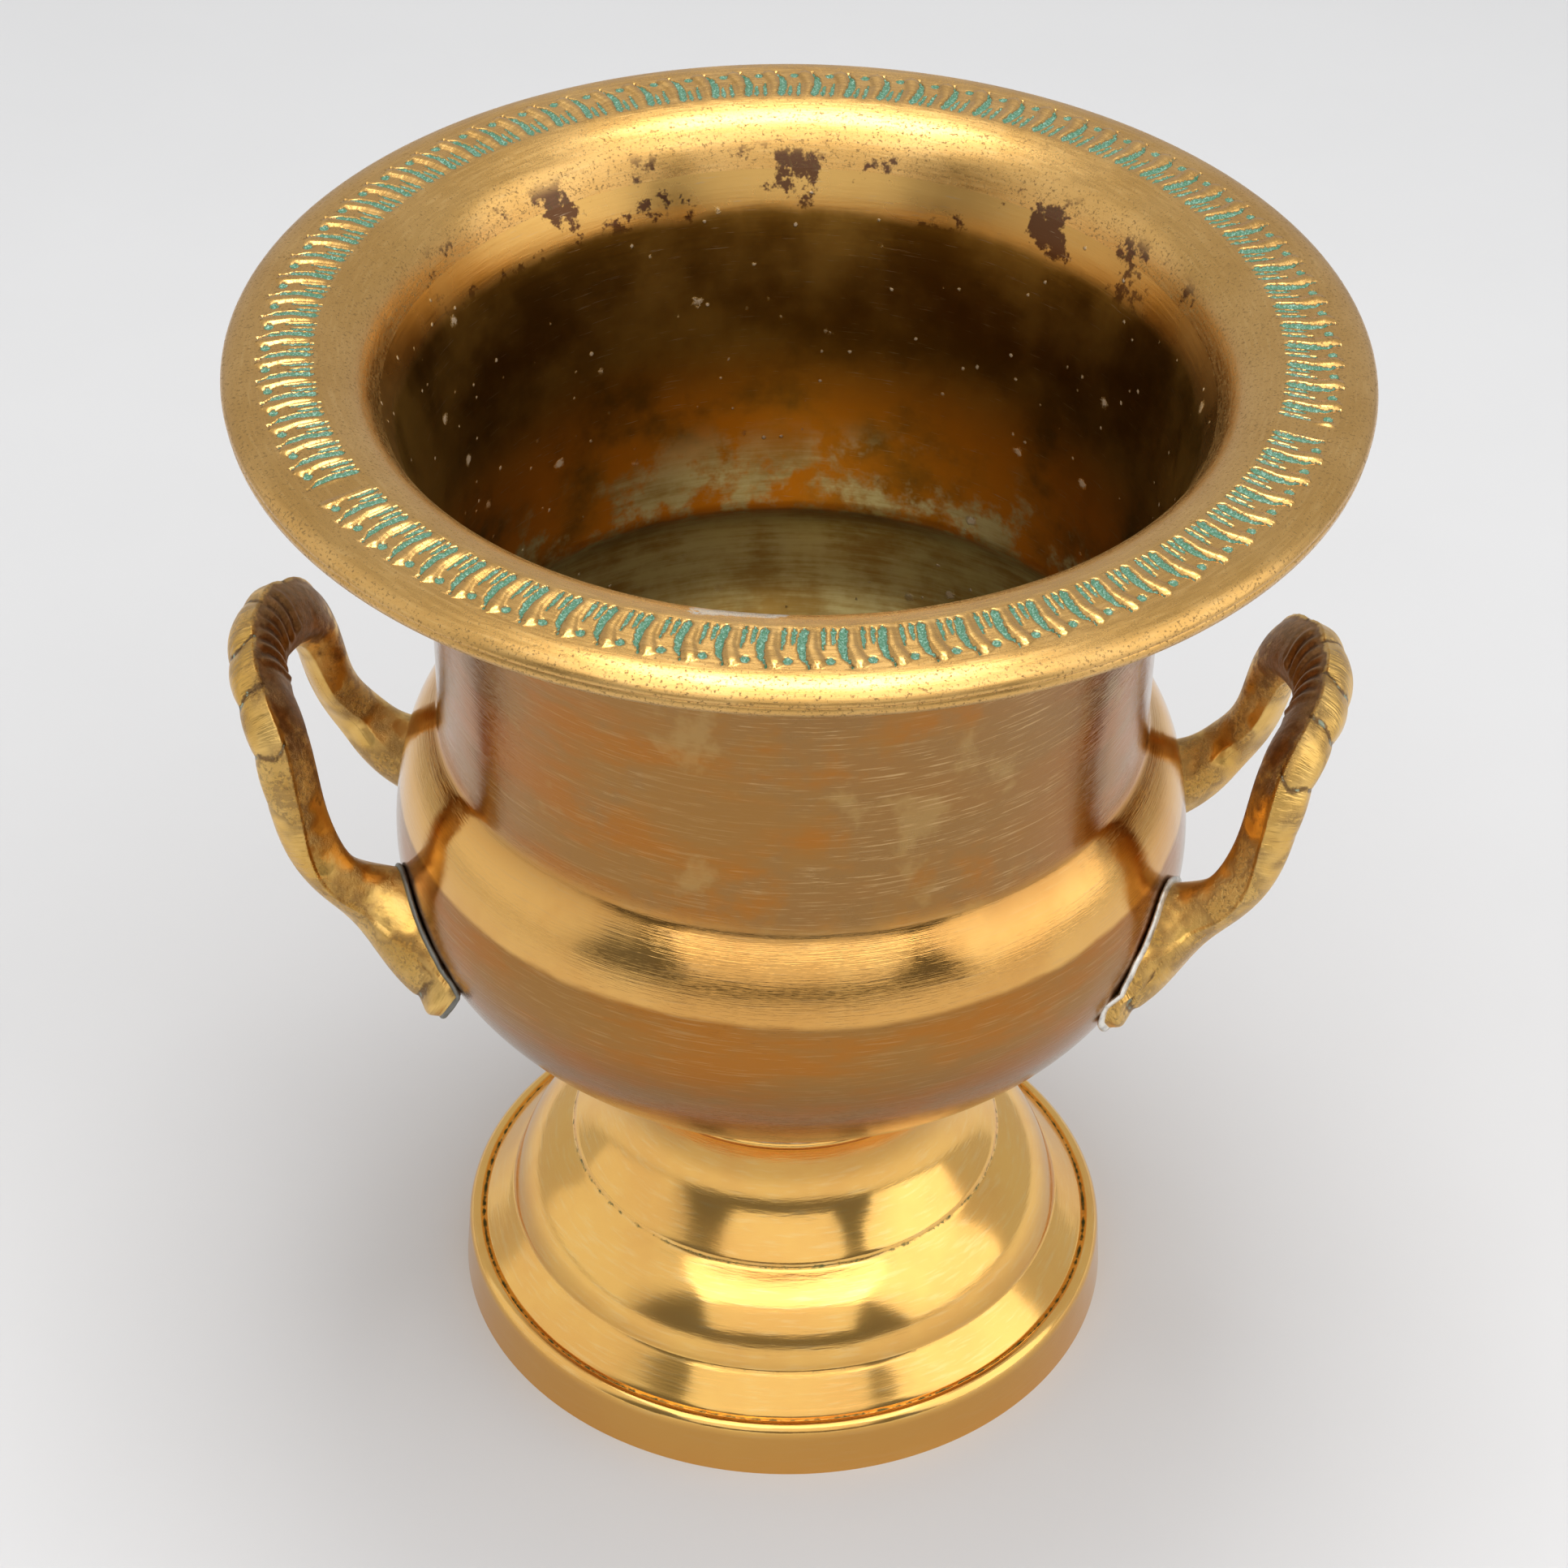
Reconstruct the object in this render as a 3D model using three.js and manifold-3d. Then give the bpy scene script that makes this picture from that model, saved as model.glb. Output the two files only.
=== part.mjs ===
// Brass planter pot: a spun urn with a flared, gadrooned rim, a pedestal foot and two cast
// loop handles soldered to the belly.
//
// Millimetres, +Z up. The origin is the centre of the circle that the foot stands on.
// The handles lie on the X axis: handle_right towards +X, handle_left towards -X.

import * as THREE from 'three';
import * as BufferGeometryUtils from 'three/addons/utils/BufferGeometryUtils.js';
import Module from 'manifold-3d';

const wasm = await Module();
wasm.setup();

// ---------- driving dimensions ----------

const SHEET = 1.2; // thickness of the spun brass sheet
const GAP = 0.3; // clearance between neighbouring pieces
const ROUND_STEPS = 48; // facets round the axis

const RIM_RADIUS = 110.5; // outermost edge of the rolled hem
const RIM_TOP_Z = 240.3; // highest line of the rim
const GADROON_INNER_RADIUS = 93;
const GADROON_OUTER_RADIUS = 103;
const HEM_DROP = 7; // height of the hem below the rim's top line
const HEM_RADIUS = 3.2; // rounding of the rim's edge

const NECK_RADIUS = 72.2; // outside of the neck at its narrowest
const MOUTH_RADIUS = 81.6; // outside of the neck where it has flared out to the mouth
const MOUTH_Z = 229.4; // cut edge of the bowl, under the rim
const NECK_FOOT_Z = 151.2; // where the neck meets the shoulder
const BELLY_RADIUS = 81.5;
const BELLY_Z = 122;
const BOWL_BASE_Z = 66; // flat underside of the bowl
const BOWL_BASE_RADIUS = 33;

const FOOT_RADIUS = 70.6;
const FOOT_TOP_Z = BOWL_BASE_Z - GAP;
const FOOT_TOP_RADIUS = 38.7;
const STEM_RADIUS = 37; // waist of the stem
const STEM_WAIST_Z = 57;
const STEM_BASE_RADIUS = 46.4; // fold between the stem and the dome
const STEM_BASE_Z = 38;
const DOME_EDGE_RADIUS = 59.7; // fine line where the dome turns into the brim
const DOME_EDGE_Z = 20.3;
const GROOVE_RADIUS = 66.7; // sunk line inside the bead
const GROOVE_Z = 13.1;
const GROOVE_DEPTH = 0.8;

const SOLDER_THICKNESS = 1.1; // of the joint under each handle leg
const SOLDER_FLANGE = 1.3; // how far that joint shows round the leg
const LEG_SECTION_STEPS = 10;
const LEG_STATIONS = 11; // sections from a root to the crown

// ---------- materials ----------

function brass(color, roughness) {
  return new THREE.MeshStandardMaterial({ color, roughness, metalness: 1 });
}

const BOWL_BRASS = brass(0xb5742e, 0.34);
const RIM_BRASS = brass(0xc49a52, 0.3);
const FOOT_BRASS = brass(0xd9ab4e, 0.26);
const HANDLE_BRASS = brass(0xb8842f, 0.38);
const SOLDER = brass(0x9c9a90, 0.5);

// ---------- shared helpers ----------

function point(radius, z) {
  return new THREE.Vector2(radius, z);
}

// Points on a smooth curve through the given ones, both ends included.
function smooth(points, steps) {
  return new THREE.SplineCurve(points).getPoints(steps);
}

// The same outline moved sideways: a positive distance moves it outwards, away from the axis
// on a wall that climbs.
function offsetOutline(points, distance) {
  return points.map((here, index) => {
    const before = points[Math.max(index - 1, 0)];
    const after = points[Math.min(index + 1, points.length - 1)];
    const along = after.clone().sub(before).normalize();
    return point(Math.max(here.x + along.y * distance, 0), here.y - along.x * distance);
  });
}

function lathe(outline) {
  return new THREE.LatheGeometry(outline, ROUND_STEPS).rotateX(Math.PI / 2);
}

// A ring whose section is a closed outline, walked with the solid on its left.
function ring(outline) {
  return lathe([...outline, outline[0].clone()]);
}

function toSolid(geometry) {
  const bare = geometry.clone();
  bare.deleteAttribute('normal');
  bare.deleteAttribute('uv');
  const merged = BufferGeometryUtils.mergeVertices(bare, 1e-4);
  const mesh = new wasm.Mesh({
    numProp: 3,
    vertProperties: new Float32Array(merged.attributes.position.array),
    triVerts: new Uint32Array(merged.index.array),
  });
  return new wasm.Manifold(mesh);
}

function toGeometry(solid) {
  const mesh = solid.getMesh();
  const geometry = new THREE.BufferGeometry();
  geometry.setAttribute('position', new THREE.BufferAttribute(mesh.vertProperties, 3));
  geometry.setIndex(new THREE.BufferAttribute(mesh.triVerts, 1));
  geometry.computeVertexNormals();
  return geometry;
}

// ---------- bowl ----------

// Outside of the bowl, from the axis underneath to the cut edge of the mouth.
function bowlOutline() {
  const belly = smooth(
    [
      point(BOWL_BASE_RADIUS, BOWL_BASE_Z),
      point(43.6, 72),
      point(52.5, 79.6),
      point(62.4, 88.4),
      point(72.9, 99.5),
      point(79, 110.5),
      point(BELLY_RADIUS, BELLY_Z),
      point(80.7, 134),
      point(77.8, 144.2),
      point(75, 148.2),
    ],
    18,
  );
  const flare = smooth(
    [
      point(NECK_RADIUS, 168),
      point(73, 186),
      point(75.2, 203),
      point(78.2, 217),
      point(MOUTH_RADIUS, MOUTH_Z - 1.2),
    ],
    12,
  );
  return [
    point(0, BOWL_BASE_Z),
    ...belly,
    point(NECK_RADIUS, NECK_FOOT_Z),
    ...flare,
    point(MOUTH_RADIUS, MOUTH_Z),
  ];
}

function bowl() {
  const outside = bowlOutline();
  const inside = offsetOutline(outside, -SHEET).reverse();
  return lathe([...outside, ...inside]);
}

// The bowl's outer shape filled in and grown, used to cut what is fixed to it.
function grownBowl(distance) {
  const outline = offsetOutline(bowlOutline(), distance);
  return toSolid(lathe([...outline, point(0, MOUTH_Z)]));
}

// ---------- rim ----------

// Upper face of the rim: the cove that climbs out of the mouth, the flat band that carries the
// gadroons, and the shoulder that rolls over into the hem.
function rimFace() {
  const cove = smooth(
    [
      point(MOUTH_RADIUS - SHEET, MOUTH_Z + GAP + 0.7),
      point(81.1, 233.2),
      point(82.3, 235.8),
      point(84.5, 237.8),
      point(88, 239.3),
      point(GADROON_INNER_RADIUS, RIM_TOP_Z),
    ],
    9,
  );
  const roll = [];
  const centre = point(RIM_RADIUS - HEM_RADIUS, RIM_TOP_Z - 1 - HEM_RADIUS);
  for (let step = 0; step <= 4; step += 1) {
    const angle = (Math.PI / 2) * (1 - step / 4);
    roll.push(point(centre.x + HEM_RADIUS * Math.cos(angle), centre.y + HEM_RADIUS * Math.sin(angle)));
  }
  return [...cove, point(GADROON_OUTER_RADIUS, RIM_TOP_Z - 0.6), ...roll];
}

function rimFlange() {
  const face = rimFace();
  const hemBottom = RIM_TOP_Z - HEM_DROP;
  const hemEdge = RIM_RADIUS - 0.4;
  const seat = MOUTH_Z + GAP; // the flange rests on the bowl's cut edge
  const underside = offsetOutline(face, SHEET).slice(1).reverse();
  const outline = [
    ...face,
    point(hemEdge, hemBottom),
    point(hemEdge - SHEET, hemBottom),
    ...underside,
    point(MOUTH_RADIUS, seat),
    point(MOUTH_RADIUS - SHEET, seat),
  ];
  return ring(outline.reverse());
}

// Solder run round the outside of the joint between the neck and the rim.
function rimSolderRing() {
  const inner = MOUTH_RADIUS + GAP;
  return ring([
    point(inner - 0.7, MOUTH_Z - 3.4),
    point(inner + 1.1, MOUTH_Z - 2.2),
    point(inner + 1.4, MOUTH_Z + 1.1),
    point(inner + 0.4, MOUTH_Z + 1.7),
    point(inner + 0.1, MOUTH_Z),
  ]);
}

// ---------- foot ----------

// Outside of the foot from the axis on top, down the waisted stem and over the dome, the brim
// with its sunk line and bead, and the skirt.
function footOutline() {
  const stem = smooth(
    [
      point(STEM_RADIUS + 0.5, FOOT_TOP_Z - 2.6),
      point(STEM_RADIUS, STEM_WAIST_Z),
      point(39.6, 47),
      point(STEM_BASE_RADIUS, STEM_BASE_Z),
    ],
    6,
  );
  const dome = smooth(
    [
      point(STEM_BASE_RADIUS + 0.3, STEM_BASE_Z - 1.4),
      point(52.6, 32.6),
      point(57.6, 26),
      point(DOME_EDGE_RADIUS, DOME_EDGE_Z),
    ],
    5,
  );
  return [
    point(0, FOOT_TOP_Z),
    point(FOOT_TOP_RADIUS - 1, FOOT_TOP_Z),
    point(FOOT_TOP_RADIUS, FOOT_TOP_Z - 1),
    ...stem,
    ...dome,
    point(63, 16),
    point(GROOVE_RADIUS - 0.6, GROOVE_Z + 0.2),
    point(GROOVE_RADIUS, GROOVE_Z - GROOVE_DEPTH),
    point(GROOVE_RADIUS + 0.7, GROOVE_Z),
    point(GROOVE_RADIUS + 2, GROOVE_Z - 0.9),
    point(FOOT_RADIUS, 0),
  ];
}

function foot() {
  const outside = footOutline();
  const inside = [
    point(FOOT_RADIUS - SHEET, 0),
    point(GROOVE_RADIUS, GROOVE_Z - 2.4),
    point(GROOVE_RADIUS - 4.4, GROOVE_Z + 0.4),
    point(DOME_EDGE_RADIUS - 1.8, DOME_EDGE_Z - 0.4),
    point(56.2, 25.2),
    point(51.4, 31.6),
    point(STEM_BASE_RADIUS - 1, STEM_BASE_Z - 2.4),
    point(38.4, 46.4),
    point(STEM_RADIUS - SHEET, STEM_WAIST_Z),
    point(STEM_RADIUS - SHEET, FOOT_TOP_Z - SHEET),
    point(0, FOOT_TOP_Z - SHEET),
  ];
  return lathe([...outside, ...inside].reverse());
}

// Solder run round the joint between the foot and the bowl.
function footSolderRing() {
  const inner = FOOT_TOP_RADIUS - 1.6;
  return ring([
    point(inner, FOOT_TOP_Z + GAP),
    point(FOOT_TOP_RADIUS, FOOT_TOP_Z + GAP),
    point(FOOT_TOP_RADIUS + 1, FOOT_TOP_Z + 1.4),
    point(FOOT_TOP_RADIUS, FOOT_TOP_Z + 1.9),
  ]);
}

// ---------- handles ----------

// One half of a handle, from the root on the belly to the crown. At each station:
// place (out along X, sideways along Y, height), the direction that points out of the loop,
// and the half sizes of the section, across the loop and through it.
const HANDLE_STATIONS = [
  { place: [58, 32, 106], out: [-0.5, 0.65, -0.57], across: 15, through: 9 },
  { place: [71, 28.5, 113.5], out: [-0.45, 0.65, -0.6], across: 12.7, through: 9.3 },
  { place: [83.5, 26, 120.5], out: [-0.1, 0.55, -0.83], across: 7.2, through: 7.4 },
  { place: [91.5, 27.5, 127.5], out: [0.4, 0.55, -0.7], across: 5.2, through: 5.4 },
  { place: [97.5, 26, 139.5], out: [0.5, 0.85, -0.1], across: 5.6, through: 4.8 },
  { place: [102, 21, 157], out: [0.35, 0.85, 0.4], across: 6.6, through: 5.8 },
  { place: [108, 0, 162.6], out: [0.2, 0, 1], across: 7.8, through: 6.4 },
];
// Both handles come from one pattern but are soldered on by hand. How each one sits: the bend of
// its crown up or down, its shift outwards and up, its lean sideways about the middle of its
// roots and its turn about the axis of the pot, in degrees.
const HANDLE_SEATS = {
  left: { crownLift: 0.5, outward: 0.6, raised: -1.9, lean: 1.8, turn: -0.7 },
  right: { crownLift: -3, outward: -1.5, raised: 1.9, lean: -4.3, turn: -4 },
};
const HANDLE_ROOT_X = 80;
const HANDLE_ROOT_Z = 115;

// Loft of one handle along its whole loop, seated on the bowl, with its sections grown.
function handleLoft(seat, grow) {
  const mirrored = (values) => [values[0], -values[1], values[2]];
  const crownIndex = HANDLE_STATIONS.length - 1;
  const half = HANDLE_STATIONS.map((station, index) => {
    const [x, y, z] = station.place;
    return { ...station, place: [x, y, z + seat.crownLift * (index / crownIndex) ** 2] };
  });
  const otherHalf = half.slice(0, -1).reverse().map((station) => ({
    ...station,
    place: mirrored(station.place),
    out: mirrored(station.out),
  }));
  const stations = [...half, ...otherHalf];
  const path = new THREE.CatmullRomCurve3(stations.map((s) => new THREE.Vector3(...s.place)));
  const outward = new THREE.CatmullRomCurve3(stations.map((s) => new THREE.Vector3(...s.out)));
  const sizes = new THREE.SplineCurve(stations.map((s) => new THREE.Vector2(s.across, s.through)));

  const rings = 2 * LEG_STATIONS - 1;
  const positions = [];
  for (let ringIndex = 0; ringIndex < rings; ringIndex += 1) {
    const t = ringIndex / (rings - 1);
    const centre = path.getPoint(t);
    const tangent = path.getTangent(t);
    const size = sizes.getPoint(t);
    const out = outward.getPoint(t);
    out.addScaledVector(tangent, -out.dot(tangent)).normalize();
    const through = new THREE.Vector3().crossVectors(tangent, out);
    for (let corner = 0; corner < LEG_SECTION_STEPS; corner += 1) {
      const angle = (corner / LEG_SECTION_STEPS) * 2 * Math.PI;
      const place = centre
        .clone()
        .addScaledVector(out, Math.cos(angle) * (size.x + grow))
        .addScaledVector(through, Math.sin(angle) * (size.y + grow));
      positions.push(...place);
    }
  }
  const firstCap = positions.length / 3;
  positions.push(...path.getPoint(0), ...path.getPoint(1));

  const index = [];
  for (let ringIndex = 0; ringIndex < rings - 1; ringIndex += 1) {
    for (let corner = 0; corner < LEG_SECTION_STEPS; corner += 1) {
      const next = (corner + 1) % LEG_SECTION_STEPS;
      const a = ringIndex * LEG_SECTION_STEPS + corner;
      const b = ringIndex * LEG_SECTION_STEPS + next;
      const c = a + LEG_SECTION_STEPS;
      const d = b + LEG_SECTION_STEPS;
      index.push(a, b, d, a, d, c);
    }
  }
  const lastRing = (rings - 1) * LEG_SECTION_STEPS;
  for (let corner = 0; corner < LEG_SECTION_STEPS; corner += 1) {
    const next = (corner + 1) % LEG_SECTION_STEPS;
    index.push(firstCap, next, corner);
    index.push(firstCap + 1, lastRing + corner, lastRing + next);
  }
  const geometry = new THREE.BufferGeometry();
  geometry.setAttribute('position', new THREE.Float32BufferAttribute(positions, 3));
  geometry.setIndex(index);
  geometry.translate(-HANDLE_ROOT_X, 0, -HANDLE_ROOT_Z);
  geometry.rotateX(THREE.MathUtils.degToRad(seat.lean));
  geometry.translate(HANDLE_ROOT_X + seat.outward, 0, HANDLE_ROOT_Z + seat.raised);
  return toSolid(geometry);
}

function handle(seat) {
  const clearance = SOLDER_THICKNESS + 2 * GAP;
  return toGeometry(handleLoft(seat, 0).subtract(grownBowl(clearance)));
}

// The layer of solder under one leg: side is 1 for the leg towards +Y and -1 for the other.
function legSolder(seat, side) {
  const layer = grownBowl(GAP + SOLDER_THICKNESS).subtract(grownBowl(GAP));
  const legSide = new THREE.BoxGeometry(RIM_RADIUS, RIM_RADIUS, RIM_TOP_Z);
  legSide.translate(RIM_RADIUS / 2 + STEM_RADIUS, (side * RIM_RADIUS) / 2, RIM_TOP_Z / 2);
  return toGeometry(handleLoft(seat, SOLDER_FLANGE).intersect(layer).intersect(toSolid(legSide)));
}

// ---------- assembly ----------

const pot = new THREE.Group();

function add(parent, name, geometry, material) {
  const mesh = new THREE.Mesh(geometry, material.clone());
  mesh.name = name;
  parent.add(mesh);
}

add(pot, 'bowl', bowl(), BOWL_BRASS);
add(pot, 'rim_flange', rimFlange(), RIM_BRASS);
add(pot, 'rim_solder_ring', rimSolderRing(), SOLDER);
add(pot, 'foot', foot(), FOOT_BRASS);
add(pot, 'foot_solder_ring', footSolderRing(), SOLDER);

// The handle is modelled towards +X and turned round for the left side, so the leg towards +Y
// is the back leg on the right and the front leg on the left.
for (const [side, turn, legTowardsY, otherLeg] of [
  ['right', 0, 'back', 'front'],
  ['left', Math.PI, 'front', 'back'],
]) {
  const seat = HANDLE_SEATS[side];
  const group = new THREE.Group();
  group.rotation.z = turn + THREE.MathUtils.degToRad(seat.turn);
  pot.add(group);
  add(group, `handle_${side}`, handle(seat), HANDLE_BRASS);
  add(group, `handle_${side}_${legTowardsY}_solder`, legSolder(seat, 1), SOLDER);
  add(group, `handle_${side}_${otherLeg}_solder`, legSolder(seat, -1), SOLDER);
}

export default pot;
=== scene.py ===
# Brass planter pot: the looks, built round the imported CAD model.
#
# The pot is a spun urn with a flared rim, a band of gadroons, a pedestal foot and two cast
# handles soldered to the belly. Lengths are millimetres until a mesh is made; +Z is up, the
# handles lie on the X axis and the viewer stands towards -Y.

import math

import bpy
import numpy as np
from mathutils import Matrix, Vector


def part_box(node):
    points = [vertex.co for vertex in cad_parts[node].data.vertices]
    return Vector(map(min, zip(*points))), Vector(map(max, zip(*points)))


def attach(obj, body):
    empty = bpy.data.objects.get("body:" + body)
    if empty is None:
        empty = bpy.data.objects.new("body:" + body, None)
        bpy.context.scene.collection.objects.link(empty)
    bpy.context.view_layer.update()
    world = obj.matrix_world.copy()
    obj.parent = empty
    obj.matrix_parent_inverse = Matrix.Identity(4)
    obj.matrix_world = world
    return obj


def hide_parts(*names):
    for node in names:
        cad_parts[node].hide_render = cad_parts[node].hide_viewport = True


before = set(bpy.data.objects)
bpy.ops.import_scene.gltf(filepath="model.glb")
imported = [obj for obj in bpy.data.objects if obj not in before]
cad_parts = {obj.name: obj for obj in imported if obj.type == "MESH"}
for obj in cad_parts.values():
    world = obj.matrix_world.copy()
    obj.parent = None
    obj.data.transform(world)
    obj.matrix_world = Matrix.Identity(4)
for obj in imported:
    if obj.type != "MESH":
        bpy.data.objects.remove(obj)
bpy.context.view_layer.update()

# ---------- driving dimensions ----------

MM = 0.001
SHEET = 1.2  # thickness of the spun brass sheet

RIM_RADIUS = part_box("rim_flange")[1].x / MM
RIM_TOP_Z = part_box("rim_flange")[1].z / MM
RIM_SEAT_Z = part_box("rim_flange")[0].z / MM  # where the rim rests on the bowl's cut edge
EDGE_FALL = 3.4  # how far the rim's upper face rolls down to the hem
HEM_DROP = 7

GADROON_INNER_RADIUS = 93
GADROON_OUTER_RADIUS = 103
GADROON_UNITS = 86
LOBE_HEIGHT = 0.55  # how far the stamped lobes stand above the field of the rim

NECK_RADIUS = 72.2  # outside of the neck at its narrowest
NECK_FOOT_Z = 151.2
MOUTH_RADIUS = 81.6  # outside of the neck where it has flared out to the mouth
MOUTH_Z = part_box("bowl")[1].z / MM
BOWL_BASE_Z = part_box("bowl")[0].z / MM

FOOT_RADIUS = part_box("foot")[1].x / MM
FOOT_TOP_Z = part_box("foot")[1].z / MM
GROOVE_RADIUS = 66.7
GROOVE_Z = 13.1

HANDLE_CLEARANCE = 1.1  # between the bowl and the cast end of each leg, filled with solder

ROUND_STEPS = 240  # points round a spun piece
RIM_STEPS = GADROON_UNITS * 5  # points round the rim, away from the gadroons
GADROON_STEPS = GADROON_UNITS * 20


# ---------- curves ----------


def spline(knots, values, at):
    """Natural cubic spline through the values at the knots, read at the given places."""
    knots = np.asarray(knots, float)
    values = np.asarray(values, float)
    count = len(knots)
    gaps = np.diff(knots)
    slopes = np.diff(values, axis=0) / gaps[:, None]
    matrix = np.eye(count)
    change = np.zeros_like(values)
    for i in range(1, count - 1):
        matrix[i, i - 1 : i + 2] = gaps[i - 1], 2 * (gaps[i - 1] + gaps[i]), gaps[i]
        change[i] = 6 * (slopes[i] - slopes[i - 1])
    bend = np.linalg.solve(matrix, change)
    index = np.clip(np.searchsorted(knots, at, side="right") - 1, 0, count - 2)
    gap = gaps[index][:, None]
    after = (np.asarray(at) - knots[index])[:, None] / gap
    before = 1 - after
    return (
        before * values[index]
        + after * values[index + 1]
        + ((before**3 - before) * bend[index] + (after**3 - after) * bend[index + 1]) * gap**2 / 6
    )


def lengths_along(points):
    """Distance from the first point to each point, along the line through them."""
    steps = np.linalg.norm(np.diff(points, axis=0), axis=1)
    return np.concatenate([[0], np.cumsum(steps)])


def curve(*points):
    """A smooth curve through the points, finely stepped."""
    points = np.array(points, float)
    knots = lengths_along(points)
    return spline(knots, points, np.linspace(0, knots[-1], int(knots[-1] * 4) + 2))


def quarter_round(centre, reach, height, steps=16):
    """The upper outer quarter of an ellipse, from its top round to its outermost point."""
    turn = np.linspace(0, math.pi / 2, steps)
    return np.stack([centre[0] + reach * np.sin(turn), centre[1] + height * np.cos(turn)], axis=1)


def evenly(points, spacing):
    """The same line with its points a given distance apart."""
    points = np.array(points, float)
    knots = lengths_along(points)
    at = np.linspace(0, knots[-1], max(int(round(knots[-1] / spacing)), 1) + 1)
    return np.stack([np.interp(at, knots, points[:, k]) for k in range(points.shape[1])], axis=1)


def softened(points, passes):
    """An evenly spaced line with its corners rounded; the two ends stay."""
    points = points.copy()
    for _ in range(passes):
        points[1:-1] = (points[:-2] + 2 * points[1:-1] + points[2:]) / 4
    return points


def moved_sideways(points, distance):
    """The outline moved away from the axis by a distance, square to itself."""
    along = np.gradient(points, axis=0)
    along /= np.linalg.norm(along, axis=1)[:, None]
    moved = points + distance * np.stack([along[:, 1], -along[:, 0]], axis=1)
    moved[:, 0] = np.maximum(moved[:, 0], 0)
    return moved


def smoothstep(low, high, value):
    share = np.clip((value - low) / (high - low), 0, 1)
    return share * share * (3 - 2 * share)


# ---------- meshes ----------


def strip(first, first_count, second, second_count):
    """Faces between two rings. One may have a whole number of times the other's points, or be a pole."""
    steps = min(count for count in (first_count, second_count) if count > 1)
    per_first = first_count // steps
    per_second = second_count // steps
    faces = []
    for step in range(steps):
        near = [first + (step * per_first + k) % first_count for k in range(per_first + 1)]
        far = [second + (step * per_second + k) % second_count for k in range(per_second + 1)]
        faces.append(near + far[::-1])
    return faces


def ring_mesh(name, rings, attributes, looped, material):
    """A closed mesh from rings of points in millimetres. attributes holds a list of rings of values."""
    starts = np.concatenate([[0], np.cumsum([len(ring) for ring in rings])])
    pairs = [(i, i + 1) for i in range(len(rings) - 1)]
    if looped:
        pairs.append((len(rings) - 1, 0))
    faces = []
    for a, b in pairs:
        faces += strip(int(starts[a]), len(rings[a]), int(starts[b]), len(rings[b]))
    mesh = bpy.data.meshes.new(name)
    mesh.from_pydata((np.concatenate(rings) * MM).tolist(), [], faces)
    for key, values in attributes.items():
        data = mesh.attributes.new(key, "FLOAT", "POINT").data
        data.foreach_set("value", np.concatenate(values).astype(np.float32))
    mesh.shade_smooth()
    mesh.set_sharp_from_angle(angle=math.radians(65))
    mesh.materials.append(material)
    if signed_volume(mesh) < 0:
        mesh.flip_normals()
    piece = bpy.data.objects.new(name, mesh)
    bpy.context.scene.collection.objects.link(piece)
    return piece


def signed_volume(mesh):
    mesh.calc_loop_triangles()
    corners = np.zeros(len(mesh.loop_triangles) * 3, np.int32)
    mesh.loop_triangles.foreach_get("vertices", corners)
    places = np.zeros(len(mesh.vertices) * 3, np.float32)
    mesh.vertices.foreach_get("co", places)
    triangles = places.reshape(-1, 3)[corners.reshape(-1, 3)].astype(float)
    across = np.cross(triangles[:, 1], triangles[:, 2])
    return float(np.einsum("ij,ij->i", triangles[:, 0], across).sum()) / 6


def circle(radius, z, steps):
    """A ring round the axis, or one point on it."""
    if radius < 1e-6:
        return np.array([[0.0, 0.0, z]])
    angle = np.arange(steps) * 2 * math.pi / steps
    return np.stack([radius * np.cos(angle), radius * np.sin(angle), np.full(steps, z)], axis=1)


def spun(name, outline, looped, material, **values):
    """A piece spun round the axis from (radius, z) points. values holds lists of one value a point."""
    rings = [circle(radius, z, ROUND_STEPS) for radius, z in outline]
    values["along"] = lengths_along(outline)
    attributes = {key: spread(line, rings) for key, line in values.items()}
    return ring_mesh(name, rings, attributes, looped, material)


def spread(values, rings):
    """The value of each ring, given to all its points."""
    return [np.full(len(ring), value) for ring, value in zip(rings, values)]


def place(piece, slot, *nodes):
    """Ties a finished piece to the frame."""
    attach(piece, "root")
    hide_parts(*nodes)


# ---------- materials ----------


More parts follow.
